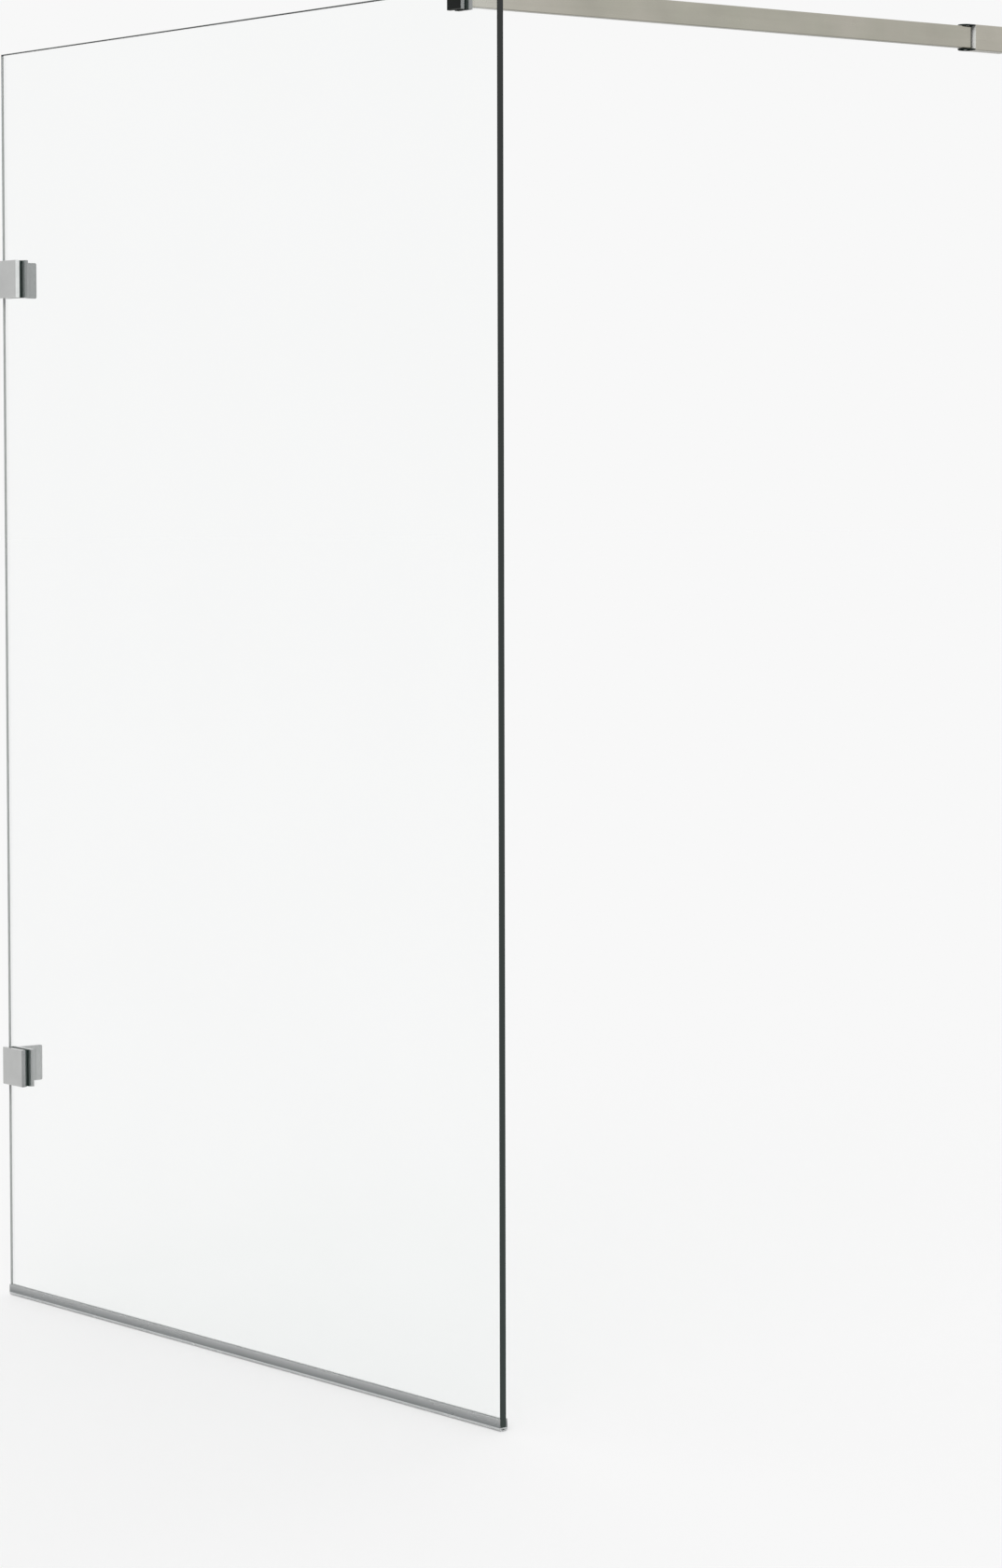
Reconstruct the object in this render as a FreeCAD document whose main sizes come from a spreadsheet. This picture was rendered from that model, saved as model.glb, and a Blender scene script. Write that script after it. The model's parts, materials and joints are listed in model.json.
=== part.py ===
# Fixed bath screen: a clear glass panel held at its wall edge by two square clamps and
# steadied by a rectangular bar that runs from its top edge to the wall across the bath.
#
# Frame: millimetres. X = 0 is the side wall and +X runs along the glass to its free edge.
# Y = 0 is the middle of the glass and +Y points over the bath. Z = 0 is the bath's rim.
import FreeCAD, Part
import math
import os
import re
import Sketcher
from FreeCAD import Rotation, Vector

doc = FreeCAD.newDocument("bath_screen")
sheet = doc.addObject("Spreadsheet::Sheet", "sizes")

SIZES = {
    # glass
    "glass_width": 998,           # wall edge to free edge
    "glass_height": 1500,
    "glass_thick": 8,
    "glass_arris": 0.7,           # polished bevel round both faces, but not in the holes
    "glass_corner": 3,            # radius of the free top corner
    "wall_gap": 2,                # glass edge to wall
    # seal under the glass
    "seal_base": 4,               # rim to glass
    "seal_leg": 9,                # how far its legs reach up the glass
    "seal_wall": 1.2,
    "seal_fit": 0.05,
    "seal_shoulder": 2.2,         # height at which the bulb meets the legs
    "seal_bulb": 7,               # width of the bulb
    "seal_rounding": 1.5,
    # wall clamps
    "clamp_side": 45,             # square cover plate and inner leg
    "lower_clamp_distance": 278,  # from the glass's bottom edge to the clamp's centre
    "upper_clamp_distance": 270,  # from the glass's top edge
    "clamp_plate": 5,             # cover plate thickness
    "clamp_leg": 5,               # thickness of the leg on the glass
    "clamp_gasket": 2,
    "clamp_edge": 0.6,            # bevel on bright edges
    "clamp_hole": 16,             # hole in the glass
    "gasket_margin": 0.5,
    "wall_leg": 5,                # thickness of the leg on the wall
    "wall_leg_length": 40,
    "wall_leg_height": 43,
    "wall_leg_corner": 2,
    "wall_leg_bend": 2.5,         # fillet in the angle between the legs
    "wall_hole_reach": 20,        # wall screw centres from the leg's glass side
    "wall_hole_pitch": 24,
    "wall_hole": 5.5,
    "wall_hole_head": 10.5,
    "boss": 11,                   # threaded boss on the cover plate
    "boss_end_gap": 0.5,
    "boss_thread_depth": 2.5,     # how far the thread runs into the plate
    "bush_fit": 0.25,
    "clamp_screw": 6,
    "clamp_screw_length": 14,
    "clamp_screw_head": 11.5,
    "clamp_screw_key": 4,
    "thread_fit": 0.05,
    # bar
    "bar_length": 708,
    "bar_height": 25,
    "bar_thick": 10,
    "bar_wall": 1.5,
    "bar_corner": 1.2,
    "bar_rise": 5.5,              # top of the bar above the glass
    "bar_from_free_edge": 68,
    # saddle that grips the top edge of the glass
    "saddle_width": 24,
    "saddle_jaw": 5,
    "saddle_grip": 23,            # how far the jaws reach down the glass
    "saddle_roof": 6.5,
    "saddle_liner": 1,
    "liner_margin": 0.5,
    "jaw_screw": 4,
    "jaw_screw_spread": 17,
    "jaw_screw_drop": 13,         # below the glass's top edge
    "jaw_screw_key": 2,
    # spigot that carries the bar on the saddle
    "spigot_length": 28,
    "tube_fit": 0.15,             # each side, between the tube and what goes into it
    "spigot_screw": 5,
    "spigot_screw_length": 16,
    "spigot_screw_head": 9.5,
    "spigot_screw_key": 3,
    "tube_screw": 4,
    "tube_screw_length": 6,
    "tube_screw_back": 15,        # from the saddle
    "tube_screw_key": 2,
    # swivel at the wall end of the bar
    "plug_length": 26,
    "pivot_back": 5.5,            # pin centre from the bar's end
    "pin": 4,
    "pin_fit": 0.05,              # running fit in the plug
    "pin_press": 0.02,
    "pin_hole_slack": 0.3,        # in the tube's walls
    "pin_lock_screw": 3,
    "pin_lock_key": 1.5,
    "swivel_gap": 0.5,            # turning bar end to the fork's throat
    "fork_cheek": 4,              # the fork's width past each side of the bar
    "ear": 1.6,
    "fork_edge": 0.7,             # bevel round the ears and along the block
    "washer": 9.5,
    "washer_thick": 0.4,
    "washer_gap": 0.05,
    "washer_fit": 0.1,
    # wall end
    "sleeve_length": 49,
    "sleeve_wall": 2,             # round the socket that slides onto the wall plate
    "socket_depth": 22,
    "wall_plate": 3,
    "wall_boss": 19,              # how far the wall plate's block reaches into the socket
    "wall_plate_hole": 4.5,
    "wall_plate_hole_head": 9,
    "wall_plate_pitch": 13,
    "sleeve_screw": 4,
    "sleeve_screw_key": 2,
    "sleeve_screw_back": 11,      # from the wall plate
    # common to all
    "socket_share": 0.5,          # depth of a hexagon socket against its key
    "cut_margin": 1,              # how far a cut starts outside what it opens
}

for row, (name, value) in enumerate(SIZES.items(), start=1):
    sheet.set("A%d" % row, name)
    sheet.set("B%d" % row, str(value))
    sheet.setAlias("B%d" % row, name)
doc.recompute()

# Places worked out from the sizes. A word that names a size stands for its cell.
FACE = "(glass_thick / 2)"
GLASS_TOP = "(seal_base + glass_height)"
LEG_FACE = "(glass_thick / 2 + clamp_gasket)"
CLAMP_MIDDLE = "(clamp_side / 2)"
BAR_X = "(wall_gap + glass_width - bar_from_free_edge)"
BAR_Z = "(seal_base + glass_height + bar_rise - bar_height / 2)"
JAW_FACE = "(glass_thick / 2 + saddle_liner)"
BAR_START = "(glass_thick / 2 + saddle_liner + saddle_jaw)"
PIVOT_Y = "(%s + bar_length - pivot_back)" % BAR_START
THROAT = "(sqrt(bar_thick ^ 2 / 4 + pivot_back ^ 2) + swivel_gap)"
FORK_HALF_WIDTH = "(bar_thick / 2 + fork_cheek)"
EAR_INSIDE = "(bar_height / 2 + washer_gap + washer_thick)"
FORK_HALF_HEIGHT = "(bar_height / 2 + washer_gap + washer_thick + ear)"
SLEEVE_END = "(%s + sleeve_length)" % THROAT
WALL_PLATE_Y = "(%s + %s)" % (PIVOT_Y, SLEEVE_END)
SOCKET_HALF_WIDTH = "(%s - sleeve_wall)" % FORK_HALF_WIDTH
SOCKET_HALF_HEIGHT = "(%s - sleeve_wall)" % FORK_HALF_HEIGHT
TUBE_INSIDE_X = "(bar_thick / 2 - bar_wall - tube_fit)"
TUBE_INSIDE_Z = "(bar_height / 2 - bar_wall - tube_fit)"

CLAMP_HEIGHTS = {
    "lower": "(seal_base + lower_clamp_distance)",
    "upper": "(seal_base + glass_height - upper_clamp_distance)",
}

SMALL = 0.001
COUNTERSINK_ANGLE = 90


def cells(expression):
    """The expression with each size's name pointing at its cell."""
    def cell(word):
        return "sizes." + word.group() if word.group() in SIZES else word.group()
    return re.sub(r"[a-z][a-z_]*", cell, expression)


def number(expression):
    return float(sheet.evalExpression(cells(expression)))


def bind(thing, **expressions):
    for prop, expression in expressions.items():
        thing.setExpression(prop, cells(expression))


def place(thing, x="0", y="0", z="0", turn=None):
    if turn is not None:
        thing.Placement.Rotation = turn
    for axis, expression in zip("xyz", (x, y, z)):
        thing.setExpression(".Placement.Base.%s" % axis, cells(expression))


def new_body(name, **where):
    body = doc.addObject("PartDesign::Body", name)
    body.Label = name
    place(body, **where)
    return body


def new_sketch(body, plane, level="0"):
    """A sketch on one of the body's planes, moved along that plane's normal by level."""
    sketch = body.newObject("Sketcher::SketchObject", body.Name + "_outline")
    origin = [f for f in body.Origin.OriginFeatures if f.Role == plane][0]
    sketch.AttachmentSupport = [(origin, "")]
    sketch.MapMode = "FlatFace"
    sketch.setExpression("AttachmentOffset.Base.z", cells(level))
    return sketch


def pin_point(sketch, geometry, point, x, y):
    for kind, expression in (("DistanceX", x), ("DistanceY", y)):
        rule = Sketcher.Constraint(kind, geometry, point, number(expression))
        index = sketch.addConstraint(rule)
        sketch.setExpression("Constraints[%d]" % index, cells(expression))


def draw_outline(sketch, corners):
    """A closed outline of straight lines, each corner held by its own expressions."""
    spots = [Vector(number(x), number(y), 0) for x, y in corners]
    lines = []
    for start, end in zip(spots, spots[1:] + spots[:1]):
        lines.append(sketch.addGeometry(Part.LineSegment(start, end), False))
    for before, line in zip(lines[-1:] + lines[:-1], lines):
        sketch.addConstraint(Sketcher.Constraint("Coincident", before, 2, line, 1))
    for line, (x, y) in zip(lines, corners):
        pin_point(sketch, line, 1, x, y)


def draw_box(sketch, left, bottom, right, top):
    draw_outline(sketch, [(left, bottom), (right, bottom), (right, top), (left, top)])


def draw_circle(sketch, x, y, diameter):
    centre = Vector(number(x), number(y), 0)
    circle = Part.Circle(centre, Vector(0, 0, 1), number(diameter) / 2)
    index = sketch.addGeometry(circle, False)
    pin_point(sketch, index, 3, x, y)
    rule = sketch.addConstraint(Sketcher.Constraint("Diameter", index, number(diameter)))
    sketch.setExpression("Constraints[%d]" % rule, cells(diameter))


def draw_hexagon(sketch, across_flats):
    reach = 1 / math.sqrt(3)
    corners = []
    for turn in range(6):
        x = "%.9f * %s" % (reach * math.cos(math.radians(60 * turn)), across_flats)
        y = "%.9f * %s" % (reach * math.sin(math.radians(60 * turn)), across_flats)
        corners.append((x, y))
    draw_outline(sketch, corners)


def pad(body, sketch, length, midplane=False, reverse=False):
    feature = body.newObject("PartDesign::Pad", body.Name + "_pad")
    feature.Profile = sketch
    feature.Midplane = midplane
    feature.Reversed = reverse
    bind(feature, Length=length)
    doc.recompute()
    return feature


def check_cut(body, feature, before):
    doc.recompute()
    if body.Shape.Volume > before - SMALL:
        raise RuntimeError("%s cuts nothing" % feature.Name)
    return feature


def pocket(body, sketch, depth=None, midplane=False, reverse=False):
    """A pocket of the given depth, or right through where no depth is given."""
    before = body.Shape.Volume
    feature = body.newObject("PartDesign::Pocket", body.Name + "_pocket")
    feature.Profile = sketch
    feature.Midplane = midplane
    feature.Reversed = reverse
    if depth is None:
        feature.Type = "ThroughAll"
    else:
        bind(feature, Length=depth)
    return check_cut(body, feature, before)


def countersink(body, sketch, diameter, head, reverse=False):
    """Countersunk clearance holes at the sketch's circles, right through."""
    doc.recompute()
    before = body.Shape.Volume
    feature = body.newObject("PartDesign::Hole", body.Name + "_hole")
    feature.Profile = sketch
    feature.Threaded = False
    feature.DepthType = "ThroughAll"
    feature.HoleCutType = "Countersink"
    feature.HoleCutCustomValues = True
    feature.HoleCutCountersinkAngle = COUNTERSINK_ANGLE
    feature.Reversed = reverse
    bind(feature, Diameter=diameter, HoleCutDiameter=head)
    return check_cut(body, feature, before)


def dress(body, kind, size, wanted):
    """Fillet or Chamfer the body's edges that the function wanted picks."""
    doc.recompute()
    base = body.Tip
    edges = enumerate(base.Shape.Edges, start=1)
    names = ["Edge%d" % index for index, edge in edges if wanted(edge)]
    if not names:
        raise RuntimeError("%s has no edge to dress" % body.Name)
    feature = body.newObject("PartDesign::" + kind, body.Name + "_" + kind.lower())
    feature.Base = (base, names)
    bind(feature, **{"Radius" if kind == "Fillet" else "Size": size})
    doc.recompute()
    return feature


def lies_at(axis, level):
    """Picks edges that lie in the plane where the coordinate axis equals level."""
    wanted = number(level)

    def test(edge):
        box = edge.BoundBox
        low = getattr(box, axis.upper() + "Min")
        high = getattr(box, axis.upper() + "Max")
        return abs(low - wanted) < SMALL and abs(high - wanted) < SMALL
    return test


def runs_along(axis):
    """Picks straight edges parallel to the axis."""
    others = [letter for letter in "XYZ" if letter != axis.upper()]

    def test(edge):
        spans = [getattr(edge.BoundBox, letter + "Length") for letter in others]
        return max(spans) < SMALL and edge.Length > SMALL
    return test


def is_open(edge):
    """Picks edges that aren't full circles."""
    return not edge.isClosed()


def both(*tests):
    return lambda edge: all(test(edge) for test in tests)


def either(*tests):
    return lambda edge: any(test(edge) for test in tests)


def make_glass():
    body = new_body("glass_panel", x="wall_gap", z="seal_base")
    sketch = new_sketch(body, "XZ_Plane")
    draw_box(sketch, "0", "0", "glass_width", "glass_height")
    for height in CLAMP_HEIGHTS.values():
        draw_circle(sketch, CLAMP_MIDDLE + " - wall_gap", height + " - seal_base", "clamp_hole")
    pad(body, sketch, "glass_thick", midplane=True)
    top_corner = both(runs_along("y"), lies_at("x", "glass_width"), lies_at("z", "glass_height"))
    dress(body, "Fillet", "glass_corner", top_corner)
    faces = either(lies_at("y", FACE), lies_at("y", "-" + FACE))
    dress(body, "Chamfer", "glass_arris", both(faces, is_open))
    return body


def make_seal():
    """Clear channel pushed onto the glass, with a hollow bulb that sits on the rim."""
    body = new_body("bottom_seal", x="wall_gap")
    inside = "(glass_thick / 2 + seal_fit)"
    outside = "(glass_thick / 2 + seal_fit + seal_wall)"
    top = "(seal_base + seal_leg)"
    foot = "(seal_bulb / 2)"
    sketch = new_sketch(body, "YZ_Plane")
    draw_outline(sketch, [
        ("-" + foot, "0"), (foot, "0"),
        (outside, "seal_shoulder"), (outside, top), (inside, top),
        (inside, "seal_base"), ("-" + inside, "seal_base"),
        ("-" + inside, top), ("-" + outside, top), ("-" + outside, "seal_shoulder"),
    ])
    hollow = "(seal_bulb / 2 - seal_wall)"
    draw_box(sketch, "-" + hollow, "seal_wall", hollow, "seal_base - seal_wall")
    pad(body, sketch, "glass_width")
    levels = either(lies_at("z", "0"), lies_at("z", "seal_shoulder"))
    dress(body, "Fillet", "seal_rounding", both(runs_along("x"), levels))
    return body


def make_clamp_body(name, height):
    """Angle of one wall clamp: a square leg on the glass and a leg screwed to the wall."""
    body = new_body(name, z=height)
    leg_back = "(%s + clamp_leg)" % LEG_FACE
    sketch = new_sketch(body, "XY_Plane")
    draw_box(sketch, "0", LEG_FACE, "clamp_side", leg_back)
    pad(body, sketch, "clamp_side", midplane=True)
    sketch = new_sketch(body, "XY_Plane")
    wall_end = "(%s + wall_leg_length)" % LEG_FACE
    draw_box(sketch, "0", LEG_FACE, "wall_leg", wall_end)
    pad(body, sketch, "wall_leg_height", midplane=True)
    bend = both(runs_along("z"), lies_at("x", "wall_leg"), lies_at("y", leg_back))
    dress(body, "Fillet", "wall_leg_bend", bend)
    dress(body, "Fillet", "wall_leg_corner", both(runs_along("x"), lies_at("y", wall_end)))
    dress(body, "Chamfer", "clamp_edge", both(runs_along("z"), lies_at("x", "clamp_side")))
    sketch = new_sketch(body, "XZ_Plane", level="-" + leg_back)
    draw_circle(sketch, CLAMP_MIDDLE, "0", "clamp_screw")
    countersink(body, sketch, "clamp_screw + 2 * thread_fit", "clamp_screw_head", reverse=True)
    sketch = new_sketch(body, "YZ_Plane", level="wall_leg")
    for side in ("-", ""):
        reach = LEG_FACE + " + wall_hole_reach"
        draw_circle(sketch, reach, side + "wall_hole_pitch / 2", "wall_hole")
    countersink(body, sketch, "wall_hole", "wall_hole_head")
    return body


def make_clamp_plate(name, height):
    """Plain square cover on the room side, with a threaded boss through the glass."""
    body = new_body(name, y="-" + LEG_FACE, z=height)
    sketch = new_sketch(body, "XZ_Plane")
    half = CLAMP_MIDDLE
    draw_box(sketch, "0", "-" + half, "clamp_side", half)
    pad(body, sketch, "clamp_plate")
    dress(body, "Chamfer", "clamp_edge", lies_at("y", "-clamp_plate"))
    boss_length = "(glass_thick + 2 * clamp_gasket - boss_end_gap)"
    sketch = new_sketch(body, "XZ_Plane")
    draw_circle(sketch, CLAMP_MIDDLE, "0", "boss")
    pad(body, sketch, boss_length, reverse=True)
    sketch = new_sketch(body, "XZ_Plane", level="-" + boss_length)
    draw_circle(sketch, CLAMP_MIDDLE, "0", "clamp_screw + 2 * thread_fit")
    pocket(body, sketch, boss_length + " + boss_thread_depth", reverse=True)
    return body


def make_gasket(name, height, near_side):
    """Soft pad between the glass and a clamp plate; near_side is its face towards -Y."""
    body = new_body(name, y=near_side, z=height)
    sketch = new_sketch(body, "XZ_Plane")
    half = "(clamp_side / 2 - gasket_margin)"
    draw_box(sketch, "wall_gap", "-" + half, "clamp_side - gasket_margin", half)
    draw_circle(sketch, CLAMP_MIDDLE, "0", "clamp_hole")
    pad(body, sketch, "clamp_gasket", reverse=True)
    return body


def make_bush(name, height):
    """Nylon ring that keeps the boss off the edge of the hole in the glass."""
    body = new_body(name, x=CLAMP_MIDDLE, z=height)
    sketch = new_sketch(body, "XZ_Plane")
    draw_circle(sketch, "0", "0", "clamp_hole - 2 * bush_fit")
    draw_circle(sketch, "0", "0", "boss + 2 * bush_fit")
    pad(body, sketch, "glass_thick", midplane=True)
    return body


def make_countersunk_screw(name, size, turn, **where):
    """Socket screw along its own -Z, with the flat of its head at Z = 0."""
    body = new_body(name, turn=turn, **where)
    head = "(%s_head / 2 - thread_fit)" % size
    shank = "(%s / 2)" % size
    cone = "(%s_head / 2 - %s / 2)" % (size, size)
    tip = "-%s_length" % size
    sketch = new_sketch(body, "XZ_Plane")
    draw_outline(sketch, [
        ("0", "0"), (head, "0"), (shank, "-" + cone + " + thread_fit"),
        (shank, tip), ("0", tip),
    ])
    feature = body.newObject("PartDesign::Revolution", name + "_turned")
    feature.Profile = sketch
    feature.ReferenceAxis = (sketch, ["V_Axis"])
    doc.recompute()
    sketch = new_sketch(body, "XY_Plane")
    draw_hexagon(sketch, size + "_key")
    pocket(body, sketch, size + "_key * socket_share")
    return body


def make_grub_screw(name, size, length, key, turn, **where):
    """Headless socket screw along its own -Z, its socket at Z = 0."""
    body = new_body(name, turn=turn, **where)
    sketch = new_sketch(body, "XY_Plane")
    draw_circle(sketch, "0", "0", size)
    pad(body, sketch, length, reverse=True)
    sketch = new_sketch(body, "XY_Plane")
    draw_hexagon(sketch, key)
    pocket(body, sketch, key + " * socket_share")
    return body


def make_group(name, bodies):
    """Identical fasteners as separate solids of one node."""
    group = doc.addObject("Part::Compound", name)
    group.Label = name
    group.Links = bodies
    return group


TOWARDS_GLASS = Rotation(Vector(1, 0, 0), -90)     # screws that point along -Y
AWAY_FROM_GLASS = Rotation(Vector(1, 0, 0), 90)    # along +Y
UPWARDS = Rotation(Vector(1, 0, 0), 180)
TOWARDS_FREE_EDGE = Rotation(Vector(0, 1, 0), -90)


def make_wall_clamps():
    """Both clamps: angles and cover plates by themselves, what they hide grouped by kind."""
    plates = []
    hidden = {"outer_gaskets": [], "inner_gaskets": [], "glass_bushes": [], "clamp_screws": []}
    leg_back = "(%s + clamp_leg)" % LEG_FACE
    for side, height in CLAMP_HEIGHTS.items():
        plates.append(make_clamp_body(side + "_clamp_body", height))
        plates.append(make_clamp_plate(side + "_clamp_plate", height))
        outer = make_gasket(side + "_outer_gasket", height, "-" + LEG_FACE)
        hidden["outer_gaskets"].append(outer)
        hidden["inner_gaskets"].append(make_gasket(side + "_inner_gasket", height, FACE))
        hidden["glass_bushes"].append(make_bush(side + "_glass_bush", height))
        screw = make_countersunk_screw(side + "_clamp_screw", "clamp_screw", TOWARDS_GLASS,
                                       x=CLAMP_MIDDLE, y=leg_back, z=height)
        hidden["clamp_screws"].append(screw)
    return plates + [make_group(name, bodies) for name, bodies in hidden.items()]


def make_saddle():
    """Block that straddles the top edge of the glass and carries the bar."""
    body = new_body("bar_saddle", x=BAR_X, z=GLASS_TOP)
    roof = "(saddle_liner + saddle_roof)"
    sketch = new_sketch(body, "YZ_Plane")
    draw_outline(sketch, [
        ("-" + BAR_START, "-saddle_grip"), ("-" + JAW_FACE, "-saddle_grip"),
        ("-" + JAW_FACE, "saddle_liner"), (JAW_FACE, "saddle_liner"),
        (JAW_FACE, "-saddle_grip"), (BAR_START, "-saddle_grip"),
        (BAR_START, roof), ("-" + BAR_START, roof),
    ])
    pad(body, sketch, "saddle_width", midplane=True)
    outer_edges = either(lies_at("y", "-" + BAR_START), lies_at("z", roof))
    dress(body, "Chamfer", "clamp_edge", outer_edges)
    sketch = new_sketch(body, "XZ_Plane", level="-" + BAR_START)
    for side in ("-", ""):
        draw_circle(sketch, side + "jaw_screw_spread / 2", "-jaw_screw_drop",
                    "jaw_screw + 2 * thread_fit")
    pocket(body, sketch, "saddle_jaw", reverse=True)
    sketch = new_sketch(body, "XZ_Plane", level="-" + JAW_FACE)
    draw_circle(sketch, "0", "bar_rise - bar_height / 2", "spigot_screw")
    countersink(body, sketch, "spigot_screw + 2 * thread_fit", "spigot_screw_head")
    return body


def make_liner():
    """Soft channel between the saddle and the glass."""
    body = new_body("saddle_liner_strip", x=BAR_X, z=GLASS_TOP)
    low = "(liner_margin - saddle_grip)"
    sketch = new_sketch(body, "YZ_Plane")
    draw_outline(sketch, [
        ("-" + JAW_FACE, low), ("-" + FACE, low), ("-" + FACE, "0"), (FACE, "0"),
        (FACE, low), (JAW_FACE, low), (JAW_FACE, "saddle_liner"),
        ("-" + JAW_FACE, "saddle_liner"),
    ])
    pad(body, sketch, "saddle_width - 2 * liner_margin", midplane=True)
    return body


def make_jaw_screws():
    screws = []
    for side, name in (("-", "near_jaw_screw"), ("+", "far_jaw_screw")):
        screws.append(make_grub_screw(
            name, "jaw_screw", "saddle_jaw", "jaw_screw_key", TOWARDS_GLASS,
            x="%s %s jaw_screw_spread / 2" % (BAR_X, side), y=BAR_START,
            z=GLASS_TOP + " - jaw_screw_drop"))
    return make_group("saddle_grub_screws", screws)


def make_spigot():
    """Block on the saddle that fills the start of the tube."""
    body = new_body("bar_spigot", x=BAR_X, y=BAR_START, z=BAR_Z)
    sketch = new_sketch(body, "XZ_Plane")
    draw_box(sketch, "-" + TUBE_INSIDE_X, "-" + TUBE_INSIDE_Z, TUBE_INSIDE_X, TUBE_INSIDE_Z)
    pad(body, sketch, "spigot_length", reverse=True)
    dress(body, "Chamfer", "clamp_edge", lies_at("y", "spigot_length"))
    sketch = new_sketch(body, "XZ_Plane")
    draw_circle(sketch, "0", "0", "spigot_screw + 2 * thread_fit")
    pocket(body, sketch, "spigot_screw_length - saddle_jaw + cut_margin")
    sketch = new_sketch(body, "XY_Plane", level="-" + TUBE_INSIDE_Z)
    draw_circle(sketch, "0", "tube_screw_back", "tube_screw + 2 * thread_fit")
    pocket(body, sketch, "tube_screw_length", reverse=True)
    return body


def make_bar():
    """Rectangular tube from the saddle to the fork."""
    body = new_body("support_bar", x=BAR_X, y=BAR_START, z=BAR_Z)
    half_x = "(bar_thick / 2)"
    half_z = "(bar_height / 2)"
    inner_x = "(bar_thick / 2 - bar_wall)"
    inner_z = "(bar_height / 2 - bar_wall)"
    sketch = new_sketch(body, "XZ_Plane")
    draw_box(sketch, "-" + half_x, "-" + half_z, half_x, half_z)
    draw_box(sketch, "-" + inner_x, "-" + inner_z, inner_x, inner_z)
    pad(body, sketch, "bar_length", reverse=True)
    corners = both(runs_along("y"), either(lies_at("z", half_z), lies_at("z", "-" + half_z)))
    dress(body, "Fillet", "bar_corner", corners)
    sketch = new_sketch(body, "XY_Plane")
    draw_circle(sketch, "0", "bar_length - pivot_back", "pin + 2 * pin_hole_slack")
    pocket(body, sketch, "bar_height + cut_margin", midplane=True)
    sketch = new_sketch(body, "XY_Plane")
    draw_circle(sketch, "0", "tube_screw_back", "tube_screw + 2 * tube_fit")
    pocket(body, sketch)
    sketch = new_sketch(body, "YZ_Plane")
    draw_circle(sketch, "bar_length - pivot_back", "0", "pin_lock_screw + 2 * tube_fit")
    pocket(body, sketch)
    return body


def make_plug():
    """Block in the wall end of the tube, bored for the pivot pin."""
    body = new_body("bar_end_plug", x=BAR_X, y=PIVOT_Y, z=BAR_Z)
    sketch = new_sketch(body, "XZ_Plane", level="-pivot_back")
    draw_box(sketch, "-" + TUBE_INSIDE_X, "-" + TUBE_INSIDE_Z, TUBE_INSIDE_X, TUBE_INSIDE_Z)
    pad(body, sketch, "plug_length")
    sketch = new_sketch(body, "XY_Plane")
    draw_circle(sketch, "0", "0", "pin + 2 * pin_fit")
    pocket(body, sketch, "bar_height", midplane=True)
    sketch = new_sketch(body, "YZ_Plane")
    draw_circle(sketch, "0", "0", "pin_lock_screw + 2 * thread_fit")
    pocket(body, sketch)
    return body


def make_fork():
    """Wall block whose two rounded ears hold the end of the bar above and below."""
    body = new_body("wall_fork", x=BAR_X, y=PIVOT_Y, z=BAR_Z)
    sketch = new_sketch(body, "XY_Plane")
    draw_box(sketch, "-" + FORK_HALF_WIDTH, "0", FORK_HALF_WIDTH, SLEEVE_END)
    pad(body, sketch, "2 * " + FORK_HALF_HEIGHT, midplane=True)
    sketch = new_sketch(body, "XY_Plane")
    draw_circle(sketch, "0", "0", "2 * " + FORK_HALF_WIDTH)
    pad(body, sketch, "2 * " + FORK_HALF_HEIGHT, midplane=True)
    long_edges = both(runs_along("y"), either(lies_at("x", FORK_HALF_WIDTH),
                                              lies_at("x", "-" + FORK_HALF_WIDTH)))
    dress(body, "Chamfer", "fork_edge", long_edges)
    sketch = new_sketch(body, "YZ_Plane")
    mouth = "-%s - cut_margin" % FORK_HALF_WIDTH
    draw_box(sketch, mouth, "-" + EAR_INSIDE, THROAT, EAR_INSIDE)
    pocket(body, sketch, "2 * %s + cut_margin" % FORK_HALF_WIDTH, midplane=True)
    sketch = new_sketch(body, "XY_Plane")
    draw_circle(sketch, "0", "0", "pin + 2 * pin_press")
    pocket(body, sketch, "2 * %s + cut_margin" % FORK_HALF_HEIGHT, midplane=True)
    sketch = new_sketch(body, "XZ_Plane", level="-" + SLEEVE_END)
    draw_box(sketch, "-" + SOCKET_HALF_WIDTH, "-" + SOCKET_HALF_HEIGHT,
             SOCKET_HALF_WIDTH, SOCKET_HALF_HEIGHT)
    pocket(body, sketch, "socket_depth", reverse=True)
    sketch = new_sketch(body, "XY_Plane")
    draw_circle(sketch, "0", SLEEVE_END + " - sleeve_screw_back", "sleeve_screw + 2 * thread_fit")
    pocket(body, sketch)
    return body


def make_wall_plate():
    """Plate as large as the sleeve's end, with a block for two wall screws inside the sleeve."""
    body = new_body("wall_plate", x=BAR_X, y=WALL_PLATE_Y, z=BAR_Z)
    sketch = new_sketch(body, "XZ_Plane")
    draw_box(sketch, "-" + FORK_HALF_WIDTH, "-" + FORK_HALF_HEIGHT,
             FORK_HALF_WIDTH, FORK_HALF_HEIGHT)
    pad(body, sketch, "wall_plate", reverse=True)
    dress(body, "Chamfer", "fork_edge", runs_along("y"))
    sketch = new_sketch(body, "XZ_Plane")
    draw_box(sketch, "tube_fit - " + SOCKET_HALF_WIDTH, "tube_fit - " + SOCKET_HALF_HEIGHT,
             SOCKET_HALF_WIDTH + " - tube_fit", SOCKET_HALF_HEIGHT + " - tube_fit")
    pad(body, sketch, "wall_boss")
    sketch = new_sketch(body, "XZ_Plane", level="wall_boss")
    for side in ("-", ""):
        draw_circle(sketch, "0", side + "wall_plate_pitch / 2", "wall_plate_hole")
    countersink(body, sketch, "wall_plate_hole", "wall_plate_hole_head")
    return body


def make_pin():
    body = new_body("pivot_pin", x=BAR_X, y=PIVOT_Y, z=BAR_Z)
    sketch = new_sketch(body, "XY_Plane")
    draw_circle(sketch, "0", "0", "pin")
    pad(body, sketch, "2 * " + FORK_HALF_HEIGHT, midplane=True)
    return body


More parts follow.
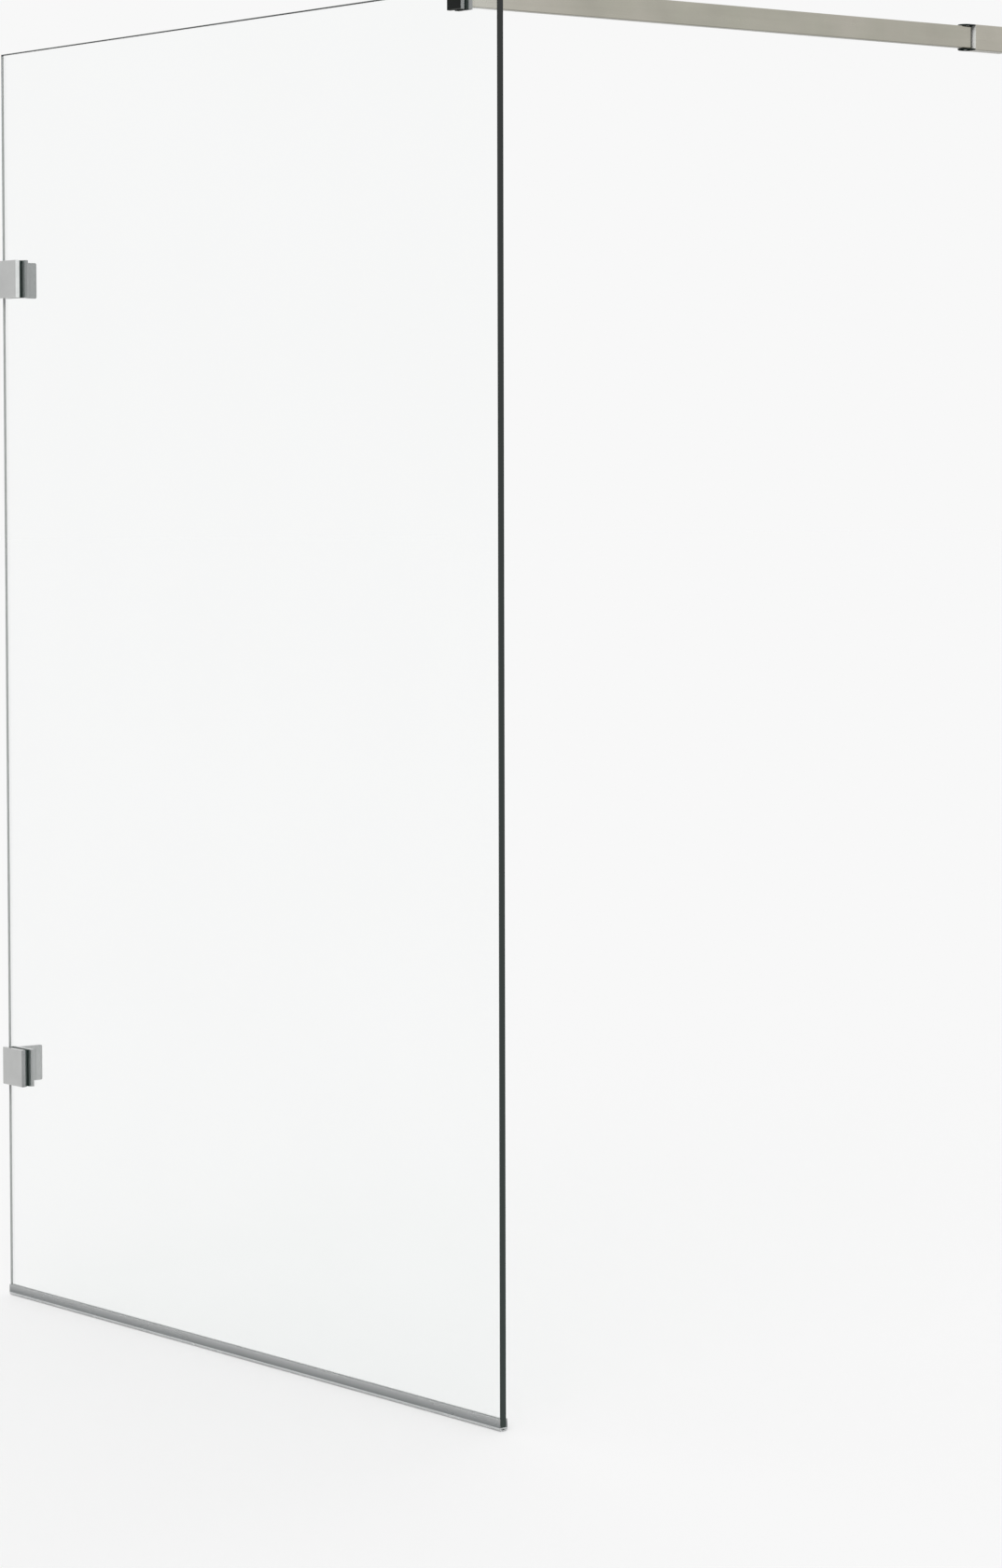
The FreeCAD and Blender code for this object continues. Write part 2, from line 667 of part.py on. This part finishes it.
def make_washers():
    rings = []
    for name, level in (("lower_washer", BAR_Z + " - " + EAR_INSIDE),
                        ("upper_washer", BAR_Z + " + bar_height / 2 + washer_gap")):
        ring = new_body(name, x=BAR_X, y=PIVOT_Y, z=level)
        sketch = new_sketch(ring, "XY_Plane")
        draw_circle(sketch, "0", "0", "washer")
        draw_circle(sketch, "0", "0", "pin + 2 * washer_fit")
        pad(ring, sketch, "washer_thick")
        rings.append(ring)
    return make_group("pivot_washers", rings)


parts = [make_glass(), make_seal()]
parts += make_wall_clamps()
parts += [
    make_saddle(),
    make_liner(),
    make_jaw_screws(),
    make_spigot(),
    make_countersunk_screw("spigot_fixing_screw", "spigot_screw", AWAY_FROM_GLASS,
                           x=BAR_X, y=JAW_FACE, z=BAR_Z),
    make_grub_screw("bar_grub_screw", "tube_screw", "tube_screw_length", "tube_screw_key",
                    UPWARDS, x=BAR_X, y=BAR_START + " + tube_screw_back",
                    z=BAR_Z + " - bar_height / 2"),
    make_bar(),
    make_plug(),
    make_grub_screw("pin_lock_grub_screw", "pin_lock_screw",
                    "bar_thick / 2 - pin / 2 - pin_fit", "pin_lock_key", TOWARDS_FREE_EDGE,
                    x=BAR_X + " - bar_thick / 2", y=PIVOT_Y, z=BAR_Z),
    make_fork(),
    make_wall_plate(),
    make_grub_screw("fork_grub_screw", "sleeve_screw", "sleeve_wall + tube_fit",
                    "sleeve_screw_key", UPWARDS, x=BAR_X,
                    y=WALL_PLATE_Y + " - sleeve_screw_back", z=BAR_Z + " - " + FORK_HALF_HEIGHT),
    make_pin(),
    make_washers(),
]
doc.recompute()

for thing in doc.Objects:
    if "Invalid" in thing.State or "Error" in thing.State:
        raise RuntimeError("%s failed: %s" % (thing.Name, thing.State))
for part in parts:
    if part.Shape.isNull() or not part.Shape.isValid():
        raise RuntimeError("%s has no valid shape" % part.Label)

os.makedirs("parts", exist_ok=True)
for part in parts:
    part.Shape.exportStep("parts/%s.step" % part.Label)
    box = part.Shape.BoundBox
    print("%-22s solids %d faces %3d volume %10.1f  X %7.2f %7.2f  Y %7.2f %7.2f  Z %7.2f %7.2f" % (
        part.Label, len(part.Shape.Solids), len(part.Shape.Faces), part.Shape.Volume,
        box.XMin, box.XMax, box.YMin, box.YMax, box.ZMin, box.ZMax))
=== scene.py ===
# Looks of the bath screen, dressed on its CAD frame. Metres, on the frame's axes.
import json
import math
import bpy
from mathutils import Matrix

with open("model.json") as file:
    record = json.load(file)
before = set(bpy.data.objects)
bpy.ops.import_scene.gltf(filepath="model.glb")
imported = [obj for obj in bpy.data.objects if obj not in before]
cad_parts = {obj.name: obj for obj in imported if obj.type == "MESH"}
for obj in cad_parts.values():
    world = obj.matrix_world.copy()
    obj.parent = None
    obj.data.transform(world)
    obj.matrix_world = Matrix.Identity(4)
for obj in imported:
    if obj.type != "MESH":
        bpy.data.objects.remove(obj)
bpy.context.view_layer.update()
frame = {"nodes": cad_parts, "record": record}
cadNodes = frame["nodes"]
bpy.ops.object.select_all(action="DESELECT")
print("frame loaded:", len(cadNodes), "nodes")


# lowest and highest corner of a CAD node
def cornersOf(name):
    places = [vertex.co for vertex in cadNodes[name].data.vertices]
    low = [min(place[axis] for place in places) for axis in range(3)]
    high = [max(place[axis] for place in places) for axis in range(3)]
    return low, high


cameraView = {
    "place": (4.6561, -2.7333, 0.9938),
    "turn": 51.189,     # degrees from looking along Y
    "tilt": 2.940,      # downwards
    "roll": 0.018,
    "lens": 101.21,
    "sensor": 36,
    "sideShift": -0.100,
    "upShift": -0.050,
    "nearest": 0.05,
    "farthest": 200,
}


def addCamera():
    view = cameraView
    angles = (90 - view["tilt"], view["roll"], view["turn"])
    bpy.ops.object.camera_add(location=view["place"],
                              rotation=[math.radians(angle) for angle in angles])
    camera = bpy.context.object
    camera.name = "mainCamera"
    camera.data.lens = view["lens"]
    camera.data.sensor_width = view["sensor"]
    camera.data.shift_x = view["sideShift"]
    camera.data.shift_y = view["upShift"]
    camera.data.clip_start = view["nearest"]
    camera.data.clip_end = view["farthest"]
    bpy.context.scene.camera = camera
    bpy.ops.object.select_all(action="DESELECT")


studioLight = {
    "backdrop": 0.939,          # what the camera, gloss and glass see
    "fill": 0.60,               # light from all round
    "suns": {                   # strength, direction it comes from, softness in degrees
        "keySun": (1.9, (0.5, -0.6, 0.62), 45),
        "backSun": (0.7, (-0.6, 0.6, 0.5), 60),
    },
    "floorColour": 0.45,
    "floorSize": 120,
    "floorDrop": 0.0004,        # below the foot of the seal
}


# a math node on two inputs, each a socket or a number
def maths(tree, operation, first, second):
    node = tree.nodes.new("ShaderNodeMath")
    node.operation = operation
    for socket, value in zip(node.inputs, (first, second)):
        if isinstance(value, (int, float)):
            socket.default_value = value
        else:
            tree.links.new(value, socket)
    return node.outputs["Value"]


# 1 for camera, glossy and transmission rays, otherwise 0
def seenRay(tree):
    path = tree.nodes.new("ShaderNodeLightPath")
    total = path.outputs["Is Camera Ray"]
    for kind in ("Is Glossy Ray", "Is Transmission Ray"):
        total = maths(tree, "MAXIMUM", total, path.outputs[kind])
    return total


# the first shader where the share is 0 and the second where it is 1
def mixShaders(tree, share, first, second):
    mix = tree.nodes.new("ShaderNodeMixShader")
    tree.links.new(share, mix.inputs["Fac"])
    tree.links.new(first.outputs[0], mix.inputs[1])
    tree.links.new(second.outputs[0], mix.inputs[2])
    return mix


# a white background shader
def whiteLight(tree, strength):
    light = tree.nodes.new("ShaderNodeBackground")
    light.inputs["Color"].default_value = (1, 1, 1, 1)
    light.inputs["Strength"].default_value = strength
    return light


def addWorld():
    world = bpy.data.worlds.new("studioWorld")
    bpy.context.scene.world = world
    world.use_nodes = True
    tree = world.node_tree
    tree.nodes.clear()
    mix = mixShaders(tree, seenRay(tree), whiteLight(tree, studioLight["fill"]),
                     whiteLight(tree, studioLight["backdrop"]))
    output = tree.nodes.new("ShaderNodeOutputWorld")
    tree.links.new(mix.outputs[0], output.inputs["Surface"])


def addSun(name, strength, towards, softness):
    bpy.ops.object.light_add(type="SUN", location=towards)
    lamp = bpy.context.object
    lamp.name = name
    x, y, z = towards
    lamp.rotation_euler = (math.atan2(math.hypot(x, y), z), 0, math.atan2(y, x) + math.pi / 2)
    lamp.data.energy = strength
    lamp.data.angle = math.radians(softness)
    lamp.visible_glossy = False
    lamp.visible_transmission = False
    bpy.ops.object.select_all(action="DESELECT")


# what a white floor gives back with nothing standing on it
def openFloorLight():
    light = studioLight["fill"]
    for strength, towards, _ in studioLight["suns"].values():
        light += strength * towards[2] / math.hypot(*towards) / math.pi
    return light


# a grey floor that seen rays find as bright as the backdrop, and that keeps shadows
def addFloor():
    colour = studioLight["floorColour"]
    bpy.ops.mesh.primitive_plane_add(size=studioLight["floorSize"],
                                     location=(0, 0, -studioLight["floorDrop"]))
    floor = bpy.context.object
    floor.name = "studioFloor"
    paint = bpy.data.materials.new("paleFloor")
    paint.use_nodes = True
    tree = paint.node_tree
    tree.nodes.clear()
    matt = tree.nodes.new("ShaderNodeBsdfDiffuse")
    matt.inputs["Color"].default_value = (colour, colour, colour, 1)
    glow = tree.nodes.new("ShaderNodeEmission")
    glow.inputs["Color"].default_value = (1, 1, 1, 1)
    joined = tree.nodes.new("ShaderNodeAddShader")
    output = tree.nodes.new("ShaderNodeOutputMaterial")
    missing = studioLight["backdrop"] - colour * openFloorLight()
    tree.links.new(maths(tree, "MULTIPLY", seenRay(tree), missing), glow.inputs["Strength"])
    tree.links.new(matt.outputs[0], joined.inputs[0])
    tree.links.new(glow.outputs[0], joined.inputs[1])
    tree.links.new(joined.outputs[0], output.inputs["Surface"])
    floor.data.materials.append(paint)
    bpy.ops.object.select_all(action="DESELECT")


addCamera()
addWorld()
for name, (strength, towards, softness) in studioLight["suns"].items():
    addSun(name, strength, towards, softness)
addFloor()
bpy.context.scene.view_settings.view_transform = "Standard"
print("camera, light and floor ready")


def newMaterial(name):
    material = bpy.data.materials.new(name)
    material.use_nodes = True
    return material, material.node_tree, material.node_tree.nodes["Principled BSDF"]


# one axis of the place on the piece ("Object") or of the way its surface faces ("Normal")
def along(tree, kind, axis):
    source = tree.nodes.new("ShaderNodeTexCoord")
    split = tree.nodes.new("ShaderNodeSeparateXYZ")
    tree.links.new(source.outputs[kind], split.inputs["Vector"])
    return split.outputs[axis]


# 1 past the limit along an axis of the piece, otherwise 0
def beyond(tree, axis, limit):
    return maths(tree, "GREATER_THAN", along(tree, "Object", axis), limit)


# 1 where the surface faces along the axis by more than the share, or against it where the
# share is below 0
def facing(tree, axis, share):
    test = "GREATER_THAN" if share > 0 else "LESS_THAN"
    return maths(tree, test, along(tree, "Normal", axis), share)


# masks are 1 inside and 0 outside
def both(tree, first, second):
    return maths(tree, "MULTIPLY", first, second)


def either(tree, first, second):
    return maths(tree, "MAXIMUM", first, second)


def outside(tree, mask):
    return maths(tree, "SUBTRACT", 1.0, mask)


# noise fixed to the piece, drawn out along an axis where stretch is small
def noiseOn(tree, scale, detail=3, stretch=(1, 1, 1)):
    place = tree.nodes.new("ShaderNodeTexCoord")
    mapping = tree.nodes.new("ShaderNodeMapping")
    mapping.inputs["Scale"].default_value = stretch
    noise = tree.nodes.new("ShaderNodeTexNoise")
    noise.inputs["Scale"].default_value = scale
    noise.inputs["Detail"].default_value = detail
    tree.links.new(place.outputs["Object"], mapping.inputs["Vector"])
    tree.links.new(mapping.outputs["Vector"], noise.inputs["Vector"])
    return noise.outputs["Fac"]


# a value from start to end turned into one from low to high, noise being mostly 0.3 to 0.7
def spread(tree, value, low, high, start=0.3, end=0.7):
    ramp = tree.nodes.new("ShaderNodeMapRange")
    ramp.inputs["From Min"].default_value = start
    ramp.inputs["From Max"].default_value = end
    ramp.inputs["To Min"].default_value = low
    ramp.inputs["To Max"].default_value = high
    tree.links.new(value, ramp.inputs["Value"])
    return ramp.outputs["Result"]


# the first colour where the mask is 0 and the second where it is 1
def blend(tree, mask, first, second, how="MIX"):
    mix = tree.nodes.new("ShaderNodeMix")
    mix.data_type = "RGBA"
    mix.blend_type = how
    for socket, value in (("Factor", mask), ("A", first), ("B", second)):
        if isinstance(value, tuple):
            mix.inputs[socket].default_value = (*value, 1)
        elif isinstance(value, (int, float)):
            mix.inputs[socket].default_value = value
        else:
            tree.links.new(value, mix.inputs[socket])
    return mix.outputs["Result"]


# the colour times a grey
def shaded(tree, colour, grey):
    return blend(tree, 1.0, colour, grey, how="MULTIPLY")


# the colour, darker in patches, down to the share given
def mottled(tree, colour, patches, share):
    return shaded(tree, colour, spread(tree, patches, share, 1.0))


def addBump(tree, shader, value, strength, depth):
    bump = tree.nodes.new("ShaderNodeBump")
    bump.inputs["Strength"].default_value = strength
    bump.inputs["Distance"].default_value = depth
    tree.links.new(value, bump.inputs["Height"])
    tree.links.new(bump.outputs["Normal"], shader.inputs["Normal"])


glassFinish = {
    "clear": (0.998, 1.0, 0.999),
    "smearScale": 4,
    "smears": 0.992,                    # of the light passes where the faces are smeared
    # the edges are opaque and painted: a painted reflection on the wall edge, painted shade
    # on the top and free edges
    "wallEdgeReflection": (0.40, 0.42, 0.41),
    "topEdgeShade": (0.008, 0.014, 0.012),
    "freeFootShade": (0.007, 0.020, 0.016),
    "freeTopShade": (0.002, 0.005, 0.004),
    "edgeBand": 0.002,                  # how near to a side an edge's colour starts
    "topShadeStrip": 0.00115,                # painted shade along the top of both faces, over the polished arris
    "faceLimit": 0.9,                   # the two faces look along Y by more than this
    "edgeGloss": 0.16,
    "index": 1.5,
    "bodyColour": (0.60, 0.85, 0.78),   # of the light left after a long way through
    "bodyDensity": 2,
    "shade": (0.93, 0.95, 0.94),        # light that lamps send through it
}


# clear faces and polished edges painted with light and shade, a painted reflection on the
# wall edge and painted shade on the top and free edges, with a tint that grows with the way
# through
def clearGlass():
    finish = glassFinish
    low, high = cornersOf("glass_panel")
    material, tree, shader = newMaterial("clearGlass")
    flatness = maths(tree, "ABSOLUTE", along(tree, "Normal", "Y"), 0)
    # the edges and the top strip of the faces take the painted edge colours
    edges = either(tree, beyond(tree, "Z", high[2] - finish["topShadeStrip"]),
                   maths(tree, "LESS_THAN", flatness, finish["faceLimit"]))
    nearTop = beyond(tree, "Z", high[2] - finish["edgeBand"])
    nearFree = beyond(tree, "X", high[0] - finish["edgeBand"])
    upEdge = spread(tree, along(tree, "Object", "Z"), 0.0, 1.0, low[2], high[2])
    # painted shade on the free edge, darker towards its top
    freeEdge = blend(tree, upEdge, finish["freeFootShade"], finish["freeTopShade"])
    # painted reflection on the wall edge and painted shade on the top edge
    edgeLightAndShade = blend(tree, nearTop, finish["wallEdgeReflection"], finish["topEdgeShade"])
    edgeLightAndShade = blend(tree, nearFree, edgeLightAndShade, freeEdge)
    colour = mottled(tree, blend(tree, edges, finish["clear"], edgeLightAndShade),
                     noiseOn(tree, finish["smearScale"]), finish["smears"])
    tree.links.new(colour, shader.inputs["Base Color"])
    tree.links.new(maths(tree, "MULTIPLY", edges, finish["edgeGloss"]),
                   shader.inputs["Roughness"])
    tree.links.new(outside(tree, edges), shader.inputs["Transmission Weight"])
    shader.inputs["IOR"].default_value = finish["index"]
    letThrough = tree.nodes.new("ShaderNodeBsdfTransparent")
    letThrough.inputs["Color"].default_value = (*finish["shade"], 1)
    path = tree.nodes.new("ShaderNodeLightPath")
    choice = mixShaders(tree, path.outputs["Is Shadow Ray"], shader, letThrough)
    body = tree.nodes.new("ShaderNodeVolumeAbsorption")
    body.inputs["Color"].default_value = (*finish["bodyColour"], 1)
    body.inputs["Density"].default_value = finish["bodyDensity"]
    output = tree.nodes["Material Output"]
    tree.links.new(choice.outputs[0], output.inputs["Surface"])
    tree.links.new(body.outputs[0], output.inputs["Volume"])
    return material


sealFinish = {
    "bulb": (0.86, 0.88, 0.88),
    "legTop": (0.63, 0.64, 0.64),
    "legFootShade": (0.28, 0.30, 0.305),     # painted shade, darkest where the legs leave the bulb
    "bulbTop": 0.0040,
    "cloudScale": 60,
    "cloudStretch": (0.15, 1, 1),
    "cloudShade": 0.95,
    "rough": (0.22, 0.30),
    "index": 1.45,
    "throughput": 0.4,
}


def softSeal():
    finish = sealFinish
    _, high = cornersOf("bottom_seal")
    material, tree, shader = newMaterial("softSeal")
    upLeg = spread(tree, along(tree, "Object", "Z"), 0.0, 1.0, finish["bulbTop"], high[2])
    # painted shade on the legs, darker down towards the bulb
    shadedLegs = blend(tree, upLeg, finish["legFootShade"], finish["legTop"])
    colour = blend(tree, beyond(tree, "Z", finish["bulbTop"]), finish["bulb"], shadedLegs)
    cloud = noiseOn(tree, finish["cloudScale"], stretch=finish["cloudStretch"])
    tree.links.new(mottled(tree, colour, cloud, finish["cloudShade"]),
                   shader.inputs["Base Color"])
    tree.links.new(spread(tree, cloud, *finish["rough"]), shader.inputs["Roughness"])
    shader.inputs["IOR"].default_value = finish["index"]
    shader.inputs["Transmission Weight"].default_value = finish["throughput"]
    return material


metalFinish = {
    "patchShade": 0.9,          # how dark the patches go
    "dullGloss": 0.0,           # of what isn't metal
    "satinUndersideShade": 0.65,     # painted shade on satin faces that look down, as their brightness
    "downward": -0.3,           # these face against Z by more than this
}
satinGrain = {
    "scale": 220,
    "detail": 2,
    "stretch": (1, 0.03, 1),
    "strength": 0.25,
    "depth": 0.0001,
}


# a metal of that colour, a socket or plain, with the patches and roughness of its finish, and
# with fine lines where grain is given
def finishMetal(tree, shader, colour, finish, grain=None):
    patches = noiseOn(tree, finish["patchScale"])
    tree.links.new(mottled(tree, colour, patches, metalFinish["patchShade"]),
                   shader.inputs["Base Color"])
    shader.inputs["Metallic"].default_value = 1
    if grain is None:
        tree.links.new(spread(tree, patches, *finish["rough"]), shader.inputs["Roughness"])
        return
    lines = noiseOn(tree, grain["scale"], grain["detail"], grain["stretch"])
    tree.links.new(spread(tree, lines, *finish["rough"]), shader.inputs["Roughness"])
    addBump(tree, shader, lines, grain["strength"], grain["depth"])


# takes the metal and its gloss away where the mask is 1
def dullWhere(tree, shader, mask):
    tree.links.new(outside(tree, mask), shader.inputs["Metallic"])
    shader.inputs["Specular IOR Level"].default_value = metalFinish["dullGloss"]


# painted shade: faces that look down are darker
def shadedBelow(tree, colour):
    below = facing(tree, "Z", metalFinish["downward"])
    return shaded(tree, colour, spread(tree, below, 1.0, metalFinish["satinUndersideShade"], 0, 1))


clampFinish = {
    "face": (0.529, 0.534, 0.528),
    # the sides carry painted reflections: a highlight on the upper cover plate, shade on the
    # lower, darker on the legs
    "upperSideReflection": (0.80, 0.815, 0.81),       # painted highlight on the side of the upper cover plate
    "lowerSideReflection": (0.34, 0.35, 0.35),
    "upperLegReflection": (0.25, 0.265, 0.26),        # painted reflections on the sides of the legs behind the glass
    "lowerLegReflection": (0.36, 0.375, 0.37),
    "sideward": 0.6,                        # sides face along X by more than this
    "patchScale": 35,
    "rough": (0.05, 0.12),
}


def clampChrome():
    finish = clampFinish
    low, high = cornersOf("glass_panel")
    material, tree, shader = newMaterial("clampChrome")
    # painted reflections on the sides, lighter on the upper cover plate than the lower
    upper = beyond(tree, "Z", (low[2] + high[2]) / 2)
    sideReflection = blend(tree, upper, finish["lowerSideReflection"], finish["upperSideReflection"])
    legReflection = blend(tree, upper, finish["lowerLegReflection"], finish["upperLegReflection"])
    sideReflection = blend(tree, beyond(tree, "Y", high[1]), sideReflection, legReflection)
    colour = blend(tree, facing(tree, "X", finish["sideward"]), finish["face"], sideReflection)
    finishMetal(tree, shader, colour, finish)
    return material


saddleFinish = {
    "metal": (0.30, 0.31, 0.31),
    "jawDarkReflection": (0.010, 0.012, 0.011),       # painted reflection of something dark on the jaw
    "undersideShade": (0.13, 0.135, 0.13),
    "forward": -0.5,                        # the jaw faces against Y by more than this
    "downward": -0.5,                       # and the underside, painted shade made matt, against Z
    "patchScale": 60,
    "rough": (0.06, 0.14),
}


def saddleChrome():
    finish = saddleFinish
    material, tree, shader = newMaterial("saddleChrome")
    # painted dark reflection on the jaw's front faces, painted shade made matt on the
    # underside
    below = facing(tree, "Z", finish["downward"])
    colour = blend(tree, facing(tree, "Y", finish["forward"]), finish["metal"],
                   finish["jawDarkReflection"])
    colour = blend(tree, below, colour, finish["undersideShade"])
    finishMetal(tree, shader, colour, finish)
    dullWhere(tree, shader, below)
    return material


barFinish = {
    "warm": (0.462, 0.440, 0.384),
    "cool": (0.440, 0.436, 0.366),
    "driftScale": 9,                    # size of the drift from warm to cool
    "start": (0.530, 0.515, 0.450),     # paler where it leaves the saddle
    "startLength": 0.15,
    "tip": (0.15, 0.15, 0.14),          # painted shade, a dark line round the cut end of the tube
    "tipLength": 0.002,
    "patchScale": 16,
    "rough": (0.26, 0.40),
}


def satinBar():
    finish = barFinish
    low, high = cornersOf("support_bar")
    material, tree, shader = newMaterial("satinBar")
    start = spread(tree, along(tree, "Object", "Y"), 1.0, 0.0, low[1],
                   low[1] + finish["startLength"])
    drift = spread(tree, noiseOn(tree, finish["driftScale"]), 0.0, 1.0)
    colour = blend(tree, drift, finish["warm"], finish["cool"])
    colour = shadedBelow(tree, blend(tree, start, colour, finish["start"]))
    # painted shade round the cut end of the tube
    colour = blend(tree, beyond(tree, "Y", high[1] - finish["tipLength"]), colour,
                   finish["tip"])
    finishMetal(tree, shader, colour, finish, satinGrain)
    return material


forkFinish = {
    "metal": (0.484, 0.463, 0.402),
    # painted shade and dark reflection on the ears' sides and undersides
    "earShade": (0.020, 0.027, 0.024),
    "mouth": (0.85, 0.85, 0.83),        # painted highlight, a pale matt face between the ears
    "earGap": 0.002,                    # how far the painted shade goes past the bar's end
    "flat": 0.9,                        # what faces an axis by less is a bevel or a side
    "patchScale": 16,
    "rough": (0.26, 0.40),
}


def satinFork():
    finish = forkFinish
    barLow, barHigh = cornersOf("support_bar")
    material, tree, shader = newMaterial("satinFork")
    overOrUnder = either(tree, beyond(tree, "Z", barHigh[2]),
                         outside(tree, beyond(tree, "Z", barLow[2])))
    pastBar = beyond(tree, "Y", barHigh[1] + finish["earGap"])
    ears = both(tree, overOrUnder, outside(tree, pastBar))
    ears = both(tree, ears, outside(tree, facing(tree, "Z", finish["flat"])))
    # painted highlight on the face between the ears, made matt
    mouth = facing(tree, "Y", -finish["flat"])
    colour = blend(tree, mouth, finish["metal"], finish["mouth"])
    # painted shade and dark reflection on the ears, made matt below
    colour = shadedBelow(tree, blend(tree, ears, colour, finish["earShade"]))
    finishMetal(tree, shader, colour, finish, satinGrain)
    earsBelow = both(tree, ears, facing(tree, "Z", -finish["flat"]))
    dullWhere(tree, shader, either(tree, mouth, earsBelow))
    return material


sawnFinish = {"colour": (0.50, 0.50, 0.48), "patchScale": 150, "rough": (0.3, 0.45)}
screwFinish = {"colour": (0.55, 0.55, 0.54), "patchScale": 400, "rough": (0.2, 0.35)}


def plainMetal(name, finish):
    material, tree, shader = newMaterial(name)
    finishMetal(tree, shader, finish["colour"], finish)
    return material


rubberFinish = {"colour": (0.060, 0.084, 0.077), "grainScale": 900, "rough": (0.5, 0.7)}
nylonFinish = {"colour": (0.80, 0.80, 0.78), "grainScale": 500, "rough": (0.35, 0.5)}
softGrain = {"detail": 4, "shade": 0.75, "strength": 0.3, "depth": 0.0002}


def softMatt(name, finish):
    material, tree, shader = newMaterial(name)
    grain = noiseOn(tree, finish["grainScale"], softGrain["detail"])
    tree.links.new(mottled(tree, finish["colour"], grain, softGrain["shade"]),
                   shader.inputs["Base Color"])
    tree.links.new(spread(tree, grain, *finish["rough"]), shader.inputs["Roughness"])
    addBump(tree, shader, grain, softGrain["strength"], softGrain["depth"])
    return material


slotMaterials = {
    "glass": clearGlass(),
    "seal": softSeal(),
    "chrome": clampChrome(),
    "satin_metal": satinFork(),
    "inner_metal": plainMetal("sawnMetal", sawnFinish),
    "gasket": softMatt("blackRubber", rubberFinish),
    "nylon": softMatt("whiteNylon", nylonFinish),
    "screw_steel": plainMetal("screwSteel", screwFinish),
}
# pieces whose finish isn't that of their slot
nodeMaterials = {
    "bar_saddle": saddleChrome(),
    "support_bar": satinBar(),
}

for part in frame["record"]["subparts"]:
    name = part["node"]
    material = nodeMaterials.get(name, slotMaterials[part["material_slot"]])
    cadNodes[name].data.materials.clear()
    cadNodes[name].data.materials.append(material)
print("materials on", len(cadNodes), "nodes")
